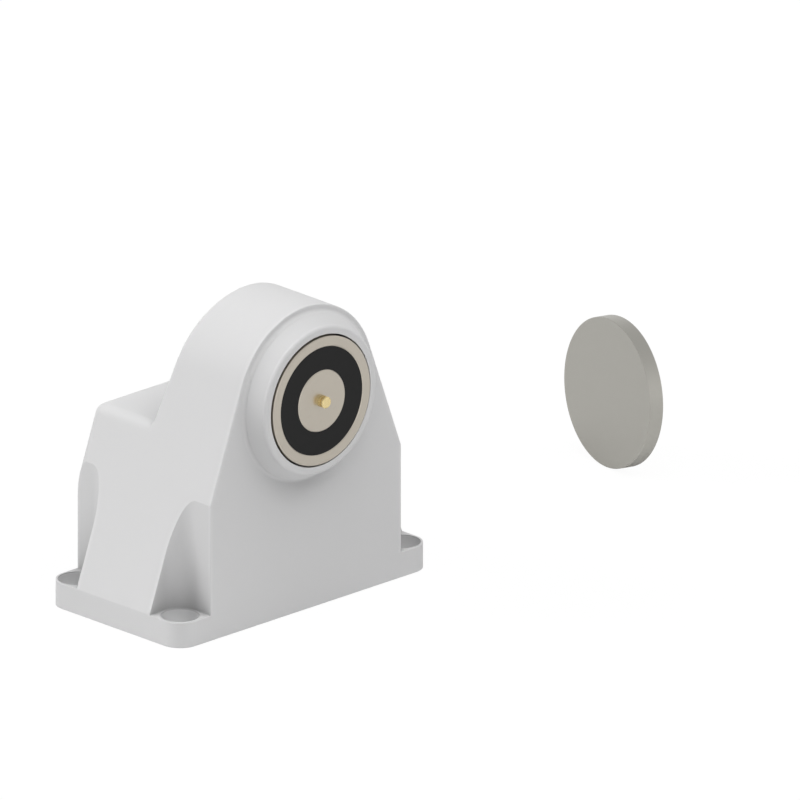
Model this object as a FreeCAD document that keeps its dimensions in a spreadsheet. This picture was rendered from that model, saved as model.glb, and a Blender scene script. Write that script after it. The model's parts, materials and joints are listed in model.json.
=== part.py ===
import FreeCAD, Part
import Sketcher
import math
import os

# Door-holding electromagnet: a white housing that screws to a floor or a wall, a round pot
# magnet that looks out of its collar, and the steel disc that the door carries.
# The row origin is the middle of the housing's underside. The magnet faces -Y, +Z is up.
# All sizes are millimetres and degrees.

document = FreeCAD.newDocument("door_magnet")

# Two places closer than this are the same
tiny = 1e-3

# Driving dimensions, one spreadsheet row each
driving = {
    # housing
    "flange_width": 130.0,
    "flange_depth": 71.0,
    "flange_height": 10.0,
    "flange_corner": 8.0,
    "wall": 3.0,
    "hole_inset": 8.0,
    "fixing_bore": 5.5,
    "head_bore": 14.4,
    "head_floor": 4.0,
    "notch_reach": 16.0,
    "notch_corner": 8.0,
    "axis_height": 84.6,
    "dome_radius": 35.0,
    "block_depth": 39.2,
    "block_lean": 8.3,
    "block_round": 1.5,
    "block_foot": 1.2,
    "front_round": 0.4,
    "box_height": 73.8,
    "box_round": 5.0,
    "collar_length": 8.0,
    "collar_base": 32.0,
    "collar_face": 29.0,
    "collar_foot": 1.5,
    "collar_lip": 1.2,
    "magnet_gap": 0.7,
    "boss_radius": 5.0,
    "boss_bite": 0.8,
    "boss_gap": 8.0,
    "boss_height": 20.0,
    # magnet
    "face_proud": 8.7,
    "pot_radius": 25.0,
    "pot_length": 30.0,
    "ring_width": 4.0,
    "core_radius": 12.0,
    "groove_depth": 24.0,
    "edge_break": 0.3,
    "resin_depth": 2.5,
    "bobbin_tube": 1.0,
    "bobbin_cheek": 1.0,
    "bobbin_gap": 0.3,
    "winding_gap": 0.4,
    "lead_hole": 2.2,
    # ejector
    "pin_radius": 2.25,
    "pin_proud": 2.7,
    "pin_clearance": 0.05,
    "pin_groove": 0.3,
    "guide_length": 6.0,
    "stop_radius": 3.6,
    "stop_length": 2.0,
    "tail_radius": 1.5,
    "tail_length": 5.0,
    "chamber_radius": 4.0,
    "spring_radius": 2.3,
    "spring_wire": 0.6,
    "spring_turns": 5.0,
    # base plate and bracket
    "plate_recess": 1.5,
    "plate_thickness": 2.0,
    "plate_gap": 0.3,
    "plate_screw_radius": 1.5,
    "plate_screw_head": 2.8,
    "plate_screw_length": 12.0,
    "recess_reach": 1.7,
    "recess_width": 0.9,
    "recess_depth": 1.3,
    "bracket_width": 24.0,
    "bracket_thickness": 2.5,
    "bracket_bend": 2.5,
    "bracket_foot": 22.0,
    "bracket_top": 14.0,
    "foot_screw_across": 7.0,
    "foot_screw_back": 14.0,
    "foot_screw_radius": 2.0,
    "foot_screw_head": 3.8,
    "foot_screw_head_height": 2.4,
    "magnet_screw_radius": 3.0,
    "magnet_screw_head": 5.0,
    "magnet_screw_head_height": 4.0,
    "magnet_screw_reach": 1.0,
    "washer_radius": 5.6,
    "washer_thickness": 1.6,
    "washer_split": 0.8,
    "head_crown": 0.6,
    "slot_width": 0.9,
    "screw_clearance": 0.05,
    "hole_clearance": 0.3,
    "overshoot": 1.0,
    # terminals
    "block_across": 27.0,
    "block_inset": 24.0,
    "pole_pitch": 10.0,
    "block_width": 26.0,
    "block_length": 16.0,
    "block_height": 15.0,
    "pole_height": 7.0,
    "clamp_radius": 2.9,
    "clamp_bore": 1.6,
    "clamp_length": 11.0,
    "clamp_screw_radius": 1.25,
    "clamp_screw_head": 1.9,
    "clamp_screw_seat": 1.6,
    "clamp_screw_height": 1.8,
    "clamp_screw_nip": 0.4,
    "terminal_gap": 0.05,
    "block_screw_radius": 1.5,
    "block_screw_head": 2.7,
    "block_screw_seat": 4.0,
    "block_screw_height": 2.2,
    "diode_radius": 1.35,
    "diode_length": 5.2,
    "diode_wire": 0.4,
    "diode_stand": 1.9,
    "diode_reach": 1.5,
    # leads and cable inlet
    "lead_radius": 0.8,
    "lead_angle_low": 32.0,
    "lead_angle_high": 15.0,
    "lead_out": 4.4,
    "lead_step": 1.0,
    "lead_sway_low": 3.0,
    "lead_sway_high": 6.0,
    "lead_approach": 8.0,
    "lead_stop": 1.0,
    "inlet_across": 28.0,
    "inlet_inset": 21.5,
    "inlet_bore": 4.0,
    "inlet_hole": 6.5,
    "inlet_lip": 8.5,
    "inlet_lip_thickness": 1.2,
    # steel disc on the door
    "disc_radius": 28.5,
    "disc_thickness": 6.0,
    "disc_edge": 0.2,
    "disc_thread_radius": 2.5,
    "disc_thread_depth": 4.5,
    "disc_right": 189.7,
    "disc_forward": 3.3,
    "disc_turn": -10.0,
    "disc_tilt": 3.5,
}

sheet = document.addObject("Spreadsheet::Sheet", "Sizes")
for row, (word, number) in enumerate(driving.items(), start=1):
    sheet.set("A%d" % row, word)
    sheet.set("B%d" % row, repr(number))
    sheet.setAlias("B%d" % row, word)
document.recompute()

# Values worked out from the driving dimensions, each an expression of its own
worked = {
    "front": "-Sizes.flange_depth / 2",
    "back": "Sizes.flange_depth / 2",
    "side": "Sizes.flange_width / 2",
    "rise": "Sizes.axis_height - Sizes.flange_height",
    "reach": "sqrt(Worked.side ^ 2 + Worked.rise ^ 2)",
    "lean": "(atan(Worked.side / Worked.rise) - asin(Sizes.dome_radius / Worked.reach)) / 1deg",
    "lean_cos": "cos(Worked.lean * 1deg)",
    "lean_sin": "sin(Worked.lean * 1deg)",
    "lean_tan": "tan(Worked.lean * 1deg)",
    "knee_tan": "tan(Worked.lean * 0.5deg)",
    "back_tan": "tan(Sizes.block_lean * 1deg)",
    "back_cos": "cos(Sizes.block_lean * 1deg)",
    "foot_reach": "Sizes.block_foot * tan(45deg - Sizes.block_lean * 0.5deg)",
    "top": "Sizes.axis_height + Sizes.dome_radius",
    "block_middle": "Worked.front + Sizes.block_depth / 2",
    "pole_face": "Worked.front - Sizes.face_proud",
    "pot_back": "Worked.pole_face + Sizes.pot_length",
    "groove_floor": "Worked.pole_face + Sizes.groove_depth",
    "ring_inside": "Sizes.pot_radius - Sizes.ring_width",
    "groove_middle": "(Worked.ring_inside + Sizes.core_radius) / 2",
    "shoulder": "Worked.pole_face + Sizes.guide_length",
    "resin_back": "Worked.pole_face + Sizes.resin_depth",
    "bobbin_inside": "Sizes.core_radius + Sizes.bobbin_gap",
    "bobbin_outside": "Worked.ring_inside - Sizes.bobbin_gap",
    "winding_inside": "Worked.bobbin_inside + Sizes.bobbin_tube",
    "winding_outside": "Worked.bobbin_outside - Sizes.winding_gap",
    "winding_back": "Worked.groove_floor - Sizes.bobbin_cheek",
    "bracket_back": "Worked.pot_back + Sizes.bracket_thickness",
    "washer_back": "Worked.bracket_back + Sizes.washer_thickness",
    "screw_tip": "Worked.groove_floor - Sizes.magnet_screw_reach",
    "spring_front": "Worked.shoulder + Sizes.stop_length",
    "plate_top": "Sizes.plate_recess + Sizes.plate_thickness",
    "foot_top": "Worked.plate_top + Sizes.bracket_thickness",
    "boss_across": "Worked.side - Sizes.notch_reach - Sizes.wall - Sizes.boss_gap",
    "boss_along": "Worked.back - Sizes.wall - Sizes.boss_radius + Sizes.boss_bite",
    "foot_screw_place": "Worked.pot_back + Sizes.foot_screw_back",
    "pole_level": "Worked.plate_top + Sizes.pole_height",
    "block_top": "Worked.plate_top + Sizes.block_height",
    "block_back": "Worked.back - Sizes.block_inset",
    "inlet_back": "Worked.back - Sizes.inlet_inset",
    "left_pole": "Sizes.block_across - Sizes.pole_pitch / 2",
    "right_pole": "Sizes.block_across + Sizes.pole_pitch / 2",
}

values = document.addObject("App::VarSet", "Worked")
for word, expression in worked.items():
    values.addProperty("App::PropertyFloat", word)
    values.setExpression(word, expression)
    document.recompute()


# Helpers: every length that they are given is an expression, so the sheet drives it

def number_of(holder, expression):
    result = holder.evalExpression(str(expression))
    return float(getattr(result, "Value", result))


def new_body(name):
    body = document.addObject("PartDesign::Body", name)
    body.Label = name
    return body


def new_sketch(body, name, plane, lift="0"):
    sketch = body.newObject("Sketcher::SketchObject", name)
    support = next(item for item in body.Origin.OriginFeatures if item.Role == plane)
    sketch.AttachmentSupport = [(support, "")]
    sketch.MapMode = "FlatFace"
    sketch.setExpression("AttachmentOffset.Base.z", lift)
    return sketch


def bind(sketch, kind, target, expression):
    # a coordinate of nought lies on the axis itself, any other is a driven distance
    if kind != "Radius" and expression == "0":
        axis = -2 if kind == "DistanceX" else -1
        sketch.addConstraint(Sketcher.Constraint("PointOnObject", target[0], target[1], axis))
        return
    size = number_of(sketch, expression)
    if kind == "Radius":
        index = sketch.addConstraint(Sketcher.Constraint(kind, target[0], size))
    else:
        index = sketch.addConstraint(Sketcher.Constraint(kind, -1, 1, target[0], target[1], size))
    sketch.setExpression("Constraints[%d]" % index, expression)


def arc_between(start, end, radius, turn):
    chord = end - start
    half = chord.Length / 2
    aside = FreeCAD.Vector(-chord.y, chord.x, 0).normalize()
    height = math.sqrt(max(radius ** 2 - half ** 2, 0))
    centre = start + chord / 2 + aside * height * turn
    first, last = (start, end) if turn > 0 else (end, start)
    begin = math.atan2(first.y - centre.y, first.x - centre.x)
    finish = math.atan2(last.y - centre.y, last.x - centre.x)
    circle = Part.Circle(centre, FreeCAD.Vector(0, 0, 1), radius)
    return Part.ArcOfCircle(circle, begin, finish)


def outline(sketch, corners):
    # a corner is (x, y), or (x, y, radius, turn) where an arc leads on to the next corner
    points = [FreeCAD.Vector(number_of(sketch, corner[0]), number_of(sketch, corner[1]), 0)
              for corner in corners]
    starts, ends = [], []
    for index, corner in enumerate(corners):
        start, end = points[index], points[(index + 1) % len(points)]
        if len(corner) == 2:
            piece = sketch.addGeometry(Part.LineSegment(start, end), False)
            starts.append((piece, 1))
            ends.append((piece, 2))
        else:
            radius, turn = number_of(sketch, corner[2]), corner[3]
            piece = sketch.addGeometry(arc_between(start, end, radius, turn), False)
            starts.append((piece, 1 if turn > 0 else 2))
            ends.append((piece, 2 if turn > 0 else 1))
    for index, corner in enumerate(corners):
        following = starts[(index + 1) % len(corners)]
        sketch.addConstraint(Sketcher.Constraint("Coincident", *ends[index], *following))
        bind(sketch, "DistanceX", starts[index], corner[0])
        bind(sketch, "DistanceY", starts[index], corner[1])
        if len(corner) > 2:
            bind(sketch, "Radius", starts[index], corner[2])


def circle(sketch, x, y, radius):
    centre = FreeCAD.Vector(number_of(sketch, x), number_of(sketch, y), 0)
    shape = Part.Circle(centre, FreeCAD.Vector(0, 0, 1), number_of(sketch, radius))
    piece = sketch.addGeometry(shape, False)
    bind(sketch, "DistanceX", (piece, 3), x)
    bind(sketch, "DistanceY", (piece, 3), y)
    bind(sketch, "Radius", (piece, 3), radius)


def pad(body, sketch, length, back=False):
    feature = body.newObject("PartDesign::Pad", sketch.Name + "_pad")
    feature.Profile = sketch
    feature.setExpression("Length", length)
    feature.Reversed = back
    return feature


def pocket(body, sketch, length, back=False):
    feature = body.newObject("PartDesign::Pocket", sketch.Name + "_pocket")
    feature.Profile = sketch
    feature.setExpression("Length", length)
    feature.Reversed = back
    return feature


def revolve(body, sketch):
    feature = body.newObject("PartDesign::Revolution", sketch.Name + "_turn")
    feature.Profile = sketch
    feature.ReferenceAxis = (sketch, ["V_Axis"])
    feature.Angle = 360
    return feature


def round_edges(body, feature, radius, chosen, kind="Fillet"):
    # chosen tells, from an edge's middle and ends, whether it is broken
    document.recompute()
    names = ["Edge%d" % (index + 1) for index, edge in enumerate(feature.Shape.Edges)
             if chosen(edge)]
    broken = body.newObject("PartDesign::" + kind, "%s_%s" % (feature.Name, kind.lower()))
    broken.Base = (feature, names)
    broken.setExpression("Radius" if kind == "Fillet" else "Size", radius)
    return broken


def on_magnet_axis(name, corners):
    # a turned piece: corners are (radius, distance along Y)
    body = new_body(name)
    sketch = new_sketch(body, name + "_profile", "XY_Plane")
    outline(sketch, corners)
    revolve(body, sketch)
    body.setExpression("Placement.Base.z", "Sizes.axis_height")
    return body


def fuse(name, pieces):
    joined = document.addObject("Part::MultiFuse", name)
    joined.Shapes = pieces
    joined.Refine = True
    return joined


def cut(name, base, tool):
    result = document.addObject("Part::Cut", name)
    result.Base = base
    result.Tool = tool
    result.Refine = True
    return result


def copies(name, pattern, places):
    # identical fasteners: links to one pattern, each with a place of its own
    links = []
    for index, place in enumerate(places):
        link = document.addObject("App::Link", "%s_%d" % (name, index + 1))
        link.LinkedObject = pattern
        for axis, expression in zip("xyz", place):
            link.setExpression("Placement.Base." + axis, expression)
        links.append(link)
    group = document.addObject("Part::Compound", name)
    group.Label = name
    group.Links = links
    return group


# Housing: the same form is drawn twice, once outside and once a wall further in

def foot_outline(inset):
    # the two lower ends of each slanted side: the outside stops on the flange, and the hollow
    # runs on down through the flange and out of its underside
    half = "(Worked.side - %s)" % inset
    knee = "(Sizes.flange_height - %s * Worked.knee_tan)" % inset
    foot = [("-" + half, knee), (half, knee)]
    if inset != "0":
        foot[1:1] = [("-" + half, "-" + inset), (half, "-" + inset)]
    return foot


def front_block(name, inset):
    body = new_body(name)
    face = new_sketch(body, name + "_face", "XZ_Plane", "-Worked.front - %s" % inset)
    radius = "(Sizes.dome_radius - %s)" % inset
    across = "(%s * Worked.lean_cos)" % radius
    level = "(Sizes.axis_height + %s * Worked.lean_sin)" % radius
    outline(face, foot_outline(inset) + [(across, level, radius, 1), ("-" + across, level)])
    drop = "(2 * Sizes.box_round)"
    depth = "(Sizes.block_depth - %s / Worked.back_cos + Worked.back_tan * %s)" % (inset, drop)
    pad(body, face, "%s - %s" % (depth, inset), back=True)
    low = "(Sizes.box_height - %s)" % drop
    over = "(Worked.top + Sizes.wall)"
    behind = "(Worked.front + %s)" % depth
    ahead = "(%s - Worked.back_tan * (%s - %s))" % (behind, over, low)
    lean = new_sketch(body, name + "_lean", "YZ_Plane", "-Worked.side - Sizes.overshoot")
    clear = "(%s + Sizes.wall)" % behind
    profile = [(behind, low), (clear, low), (clear, over), (ahead, over)]
    if inset == "0":
        # outside, the leaning back runs into the box's top in a small hollow
        corner = "(%s - Worked.back_tan * %s)" % (behind, drop)
        foot_end = "(%s + Worked.foot_reach)" % corner
        foot_start = "(%s - Worked.foot_reach * Worked.back_tan * Worked.back_cos)" % corner
        foot_level = "(Sizes.box_height + Worked.foot_reach * Worked.back_cos)"
        profile[0] = (foot_end, low)
        profile += [(foot_start, foot_level, "Sizes.block_foot", 1),
                    (foot_end, "Sizes.box_height")]
    outline(lean, profile)
    return body, pocket(body, lean, "Sizes.flange_width + 2 * Sizes.overshoot", back=True)


def rear_box(name, inset):
    body = new_body(name)
    face = new_sketch(body, name + "_face", "XZ_Plane", "-Worked.block_middle")
    roof = "(Sizes.box_height - %s)" % inset
    narrowing = "(%s - Sizes.flange_height) * Worked.lean_tan" % roof
    across = "(Worked.side - %s / Worked.lean_cos - %s)" % (inset, narrowing)
    outline(face, foot_outline(inset) + [(across, roof), ("-" + across, roof)])
    return body, pad(body, face, "Worked.back - Worked.block_middle - %s" % inset, back=True)


def corner_posts(body, name, extra, lift, length):
    # four posts with one rounded corner each, concentric with the fixing holes
    sketch = new_sketch(body, name, "XY_Plane", lift)
    reach = "(Sizes.notch_reach + %s)" % extra
    radius = "(Sizes.notch_corner + %s)" % extra
    for side in (1, -1):
        for end in (1, -1):
            sign = {1: "", -1: "-"}
            inner_x = "%s(Worked.side - %s)" % (sign[side], reach)
            round_x = "%s(Worked.side - %s + %s)" % (sign[side], reach, radius)
            outer_x = "%s(Worked.side + Sizes.wall)" % sign[side]
            inner_y = "%s(Worked.back - %s)" % (sign[end], reach)
            round_y = "%s(Worked.back - %s + %s)" % (sign[end], reach, radius)
            outer_y = "%s(Worked.back + Sizes.wall)" % sign[end]
            outline(sketch, [(outer_x, outer_y), (inner_x, outer_y),
                             (inner_x, round_y, radius, side * end),
                             (round_x, inner_y), (outer_x, inner_y)])
    pad(body, sketch, length)


def hole_places():
    across = "(Worked.side - Sizes.hole_inset)"
    along = "(Worked.back - Sizes.hole_inset)"
    return [(sign_x + across, sign_y + along) for sign_x in ("", "-") for sign_y in ("", "-")]


def boss_places():
    return [(sign_x + "Worked.boss_across", sign_y + "Worked.boss_along")
            for sign_x in ("", "-") for sign_y in ("", "-")]


def make_housing():
    block_body, block_feature = front_block("block_form", "0")
    back_middle = number_of(values, "Worked.block_middle")

    def behind_dome(edge):
        return edge.BoundBox.YMin > back_middle and edge.BoundBox.ZMax > driving["box_height"]

    def before_dome(edge):
        box = edge.BoundBox
        return box.YLength < tiny and box.YMax < back_middle and box.ZLength > tiny

    back_edge = round_edges(block_body, block_feature, "Sizes.block_round", behind_dome)
    round_edges(block_body, back_edge, "Sizes.front_round", before_dome)

    box_body, box_feature = rear_box("box_form", "0")
    top_level = driving["box_height"] - tiny
    back_line = driving["flange_depth"] / 2 - tiny

    def box_edge(edge):
        return edge.BoundBox.ZMax > top_level and edge.BoundBox.YMax > back_line

    round_edges(box_body, box_feature, "Sizes.box_round", box_edge)

    flange_body = new_body("flange_form")
    plan = new_sketch(flange_body, "flange_plan", "XY_Plane")
    corner, side, end = "Sizes.flange_corner", "Worked.side", "Worked.back"
    inner_side, inner_end = "(%s - %s)" % (side, corner), "(%s - %s)" % (end, corner)
    outline(plan, [("-" + inner_side, "-" + end), (inner_side, "-" + end, corner, 1),
                   (side, "-" + inner_end), (side, inner_end, corner, 1),
                   (inner_side, end), ("-" + inner_side, end, corner, 1),
                   ("-" + side, inner_end), ("-" + side, "-" + inner_end, corner, 1)])
    pad(flange_body, plan, "Sizes.flange_height")

    lip = "(Worked.front - Sizes.collar_length)"
    collar_body = on_magnet_axis("collar_form", [
        ("0", "Worked.front + Sizes.wall"),
        ("0", lip),
        ("Sizes.collar_face - Sizes.collar_lip", lip, "Sizes.collar_lip", 1),
        ("Sizes.collar_face", lip + " + Sizes.collar_lip"),
        ("Sizes.collar_base", "Worked.front - Sizes.collar_foot", "Sizes.collar_foot", -1),
        ("Sizes.collar_base + Sizes.collar_foot", "Worked.front"),
        ("Sizes.collar_base + Sizes.collar_foot", "Worked.front + Sizes.wall")])

    outside = fuse("outside_form", [block_body, box_body, flange_body, collar_body])

    inner_block = front_block("block_core", "Sizes.wall")[0]
    inner_box = rear_box("box_core", "Sizes.wall")[0]
    core = fuse("core_form", [inner_block, inner_box])
    kept = new_body("core_corners")
    corner_posts(kept, "core_corner_plan", "Sizes.wall", "-2 * Sizes.wall",
                 "Worked.top + 2 * Sizes.wall")
    bosses = new_body("core_bosses")
    boss_plan = new_sketch(bosses, "boss_plan", "XY_Plane", "Worked.plate_top")
    for x, y in boss_places():
        circle(boss_plan, x, y, "Sizes.boss_radius")
        circle(boss_plan, x, y, "Sizes.plate_screw_radius + Sizes.screw_clearance")
    pad(bosses, boss_plan, "Sizes.boss_height")
    hollow = cut("hollow_form", core, fuse("core_kept", [kept, bosses]))

    notches = new_body("notch_form")
    corner_posts(notches, "notch_plan", "0", "Sizes.flange_height", "Worked.top")
    heads = new_sketch(notches, "head_bores", "XY_Plane", "Sizes.head_floor")
    shanks = new_sketch(notches, "fixing_bores", "XY_Plane", "-1")
    for x, y in hole_places():
        circle(heads, x, y, "Sizes.head_bore / 2")
        circle(shanks, x, y, "Sizes.fixing_bore / 2")
    pad(notches, heads, "Sizes.flange_height - Sizes.head_floor")
    pad(notches, shanks, "Sizes.head_floor + Sizes.overshoot")

    opening = on_magnet_axis("collar_bore", [
        ("0", "Worked.front + Sizes.wall + Sizes.overshoot"),
        ("0", "Worked.front - Sizes.collar_length - Sizes.overshoot"),
        ("Sizes.pot_radius + Sizes.magnet_gap", "Worked.front - Sizes.collar_length - Sizes.overshoot"),
        ("Sizes.pot_radius + Sizes.magnet_gap", "Worked.front + Sizes.wall + Sizes.overshoot")])

    housing = cut("housing", outside, fuse("housing_cutters", [hollow, notches, opening]))
    housing.Label = "housing"
    return housing


# Magnet: a turned pot with its core, the coil on its bobbin and the resin that seals it

def make_magnet_body():
    face, broken = "Worked.pole_face", "Sizes.edge_break"
    ring_in, ring_out = "Worked.ring_inside", "Sizes.pot_radius"
    guide = "(Sizes.pin_radius + Sizes.pin_clearance)"
    thread = "(Sizes.magnet_screw_radius + Sizes.screw_clearance)"
    past = face + " + " + broken
    body = on_magnet_axis("magnet_body", [
        (guide, face),
        ("Sizes.core_radius - " + broken, face),
        ("Sizes.core_radius", past),
        ("Sizes.core_radius", "Worked.groove_floor"),
        (ring_in, "Worked.groove_floor"),
        (ring_in, past),
        (ring_in + " + " + broken, face),
        (ring_out + " - " + broken, face),
        (ring_out, past),
        (ring_out, "Worked.pot_back - Sizes.edge_break"),
        (ring_out + " - " + broken, "Worked.pot_back"),
        (thread, "Worked.pot_back"),
        (thread, "Worked.groove_floor"),
        ("Sizes.chamber_radius", "Worked.groove_floor"),
        ("Sizes.chamber_radius", "Worked.shoulder"),
        (guide, "Worked.shoulder")])
    holes = new_sketch(body, "pot_lead_holes", "XZ_Plane", "-Worked.groove_floor + Sizes.overshoot")
    for angle in ("Sizes.lead_angle_low", "Sizes.lead_angle_high"):
        circle(holes, "Worked.groove_middle * cos(%s * 1deg)" % angle,
               "-Worked.groove_middle * sin(%s * 1deg)" % angle, "Sizes.lead_hole / 2")
    pocket(body, holes, "Sizes.pot_length - Sizes.groove_depth + 2 * Sizes.overshoot")
    return body


def make_coil():
    face, core, ring_in = "Worked.pole_face", "Sizes.core_radius", "Worked.ring_inside"
    broken = "Sizes.edge_break"
    resin = on_magnet_axis("potting_ring", [
        (core, "Worked.resin_back"),
        (core, face + " + " + broken),
        (ring_in, face + " + " + broken),
        (ring_in, "Worked.resin_back")])
    inside, outside = "Worked.bobbin_inside", "Worked.bobbin_outside"
    tube = "Worked.winding_inside"
    front_cheek = "Worked.resin_back + Sizes.bobbin_cheek"
    bobbin = on_magnet_axis("coil_bobbin", [
        (inside, "Worked.resin_back"),
        (outside, "Worked.resin_back"),
        (outside, front_cheek),
        (tube, front_cheek),
        (tube, "Worked.winding_back"),
        (outside, "Worked.winding_back"),
        (outside, "Worked.groove_floor"),
        (inside, "Worked.groove_floor")])
    holes = new_sketch(bobbin, "bobbin_lead_holes", "XZ_Plane",
                       "-Worked.winding_back + Sizes.overshoot / 4")
    for angle in ("Sizes.lead_angle_low", "Sizes.lead_angle_high"):
        circle(holes, "Worked.groove_middle * cos(%s * 1deg)" % angle,
               "-Worked.groove_middle * sin(%s * 1deg)" % angle, "Sizes.lead_hole / 2")
    pocket(bobbin, holes, "Sizes.bobbin_cheek + Sizes.overshoot / 2")
    winding = on_magnet_axis("coil_winding", [
        (tube, front_cheek),
        ("Worked.winding_outside", front_cheek),
        ("Worked.winding_outside", "Worked.winding_back"),
        (tube, "Worked.winding_back")])
    return [resin, bobbin, winding]


# Ejector: the brass pin that frees the disc, its stop collar and the spring behind it

def make_ejector():
    tip = "(Worked.pole_face - Sizes.pin_proud)"
    pin, groove = "Sizes.pin_radius", "(Sizes.pin_radius - Sizes.pin_groove)"
    middle = "(%s + Sizes.pin_proud / 2)" % tip
    body = on_magnet_axis("ejector_pin", [
        ("0", tip),
        (pin + " - Sizes.edge_break", tip),
        (pin, tip + " + Sizes.edge_break"),
        (pin, middle + " - Sizes.pin_groove / 2"),
        (groove, middle + " - Sizes.pin_groove / 2"),
        (groove, middle + " + Sizes.pin_groove / 2"),
        (pin, middle + " + Sizes.pin_groove / 2"),
        (pin, "Worked.shoulder"),
        ("Sizes.stop_radius", "Worked.shoulder"),
        ("Sizes.stop_radius", "Worked.spring_front"),
        ("Sizes.tail_radius", "Worked.spring_front"),
        ("Sizes.tail_radius", "Worked.spring_front + Sizes.tail_length"),
        ("0", "Worked.spring_front + Sizes.tail_length")])
    return body


def make_spring():
    # the end turns rest on the pin's collar and on the mounting screw's tip
    wire = driving["spring_wire"]
    start = number_of(values, "Worked.spring_front") + wire / 2
    length = number_of(values, "Worked.screw_tip") - wire / 2 - start
    helix = Part.makeHelix(length / driving["spring_turns"], length, driving["spring_radius"])
    first = FreeCAD.Vector(driving["spring_radius"], 0, 0)
    section = Part.Wire(Part.makeCircle(wire / 2, first, FreeCAD.Vector(0, 1, 0)))
    coil = Part.Wire(helix).makePipeShell([section], True, True)
    coil.Placement = FreeCAD.Placement(
        FreeCAD.Vector(0, start, driving["axis_height"]),
        FreeCAD.Rotation(FreeCAD.Vector(1, 0, 0), -90))
    spring = document.addObject("Part::Feature", "ejector_spring")
    spring.Shape = coil
    spring.Label = "ejector_spring"
    return spring


# Base plate, bracket and the screws that join them

def make_base_plate():
    body = new_body("base_plate")
    plan = new_sketch(body, "plate_plan", "XY_Plane", "Sizes.plate_recess")
    gap = "(Sizes.wall + Sizes.plate_gap)"
    side, end = "(Worked.side - %s)" % gap, "(Worked.back - %s)" % gap
    step = "(Sizes.notch_reach + Sizes.wall + Sizes.plate_gap)"
    inner_side, inner_end = "(Worked.side - %s)" % step, "(Worked.back - %s)" % step
    outline(plan, [
        ("-" + inner_side, "-" + end), (inner_side, "-" + end), (inner_side, "-" + inner_end),
        (side, "-" + inner_end), (side, inner_end), (inner_side, inner_end),
        (inner_side, end), ("-" + inner_side, end), ("-" + inner_side, inner_end),
        ("-" + side, inner_end), ("-" + side, "-" + inner_end), ("-" + inner_side, "-" + inner_end)])
    pad(body, plan, "Sizes.plate_thickness")
    holes = new_sketch(body, "plate_holes", "XY_Plane", "Worked.plate_top + Sizes.overshoot")
    for x, y in boss_places():
        circle(holes, x, y, "Sizes.plate_screw_radius + Sizes.hole_clearance")
    circle(holes, "-Sizes.inlet_across", "Worked.inlet_back", "Sizes.inlet_hole")
    for sign in ("", "-"):
        circle(holes, sign + "Sizes.foot_screw_across", "Worked.foot_screw_place",
               "Sizes.foot_screw_radius + Sizes.screw_clearance")
    circle(holes, "Sizes.block_across", "Worked.block_back",
           "Sizes.block_screw_radius + Sizes.screw_clearance")
    drilled = pocket(body, holes, "Sizes.plate_thickness + 2 * Sizes.overshoot")

    def screw_hole_below(edge):
        low = edge.BoundBox.ZMax < driving["plate_recess"] + tiny
        size = driving["plate_screw_radius"] + driving["hole_clearance"]
        return low and hasattr(edge.Curve, "Radius") and abs(edge.Curve.Radius - size) < tiny

    sunk = "Sizes.plate_screw_head - Sizes.plate_screw_radius"
    round_edges(body, drilled, sunk, screw_hole_below, kind="Chamfer")
    return body


def make_plate_screws():
    pattern = new_body("plate_screw_pattern")
    profile = new_sketch(pattern, "plate_screw_profile", "XZ_Plane")
    shank, head = "Sizes.plate_screw_radius", "Sizes.plate_screw_head"
    taper = "(Sizes.plate_screw_head - Sizes.plate_screw_radius)"
    outline(profile, [("0", "0"), (head, "0"), (shank, taper),
                      (shank, "Sizes.plate_screw_length - Sizes.plate_screw_radius"),
                      ("0", "Sizes.plate_screw_length")])
    revolve(pattern, profile)
    recess = new_sketch(pattern, "plate_screw_recess", "XY_Plane")
    far, near = "Sizes.recess_reach", "(Sizes.recess_width / 2)"
    outline(recess, [(far, "-" + near), (far, near), (near, near), (near, far),
                     ("-" + near, far), ("-" + near, near), ("-" + far, near),
                     ("-" + far, "-" + near), ("-" + near, "-" + near), ("-" + near, "-" + far),
                     (near, "-" + far), (near, "-" + near)])
    pocket(pattern, recess, "Sizes.recess_depth", back=True)
    places = [(x, y, "Sizes.plate_recess") for x, y in boss_places()]
    return copies("base_plate_screws", pattern, places)


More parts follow.
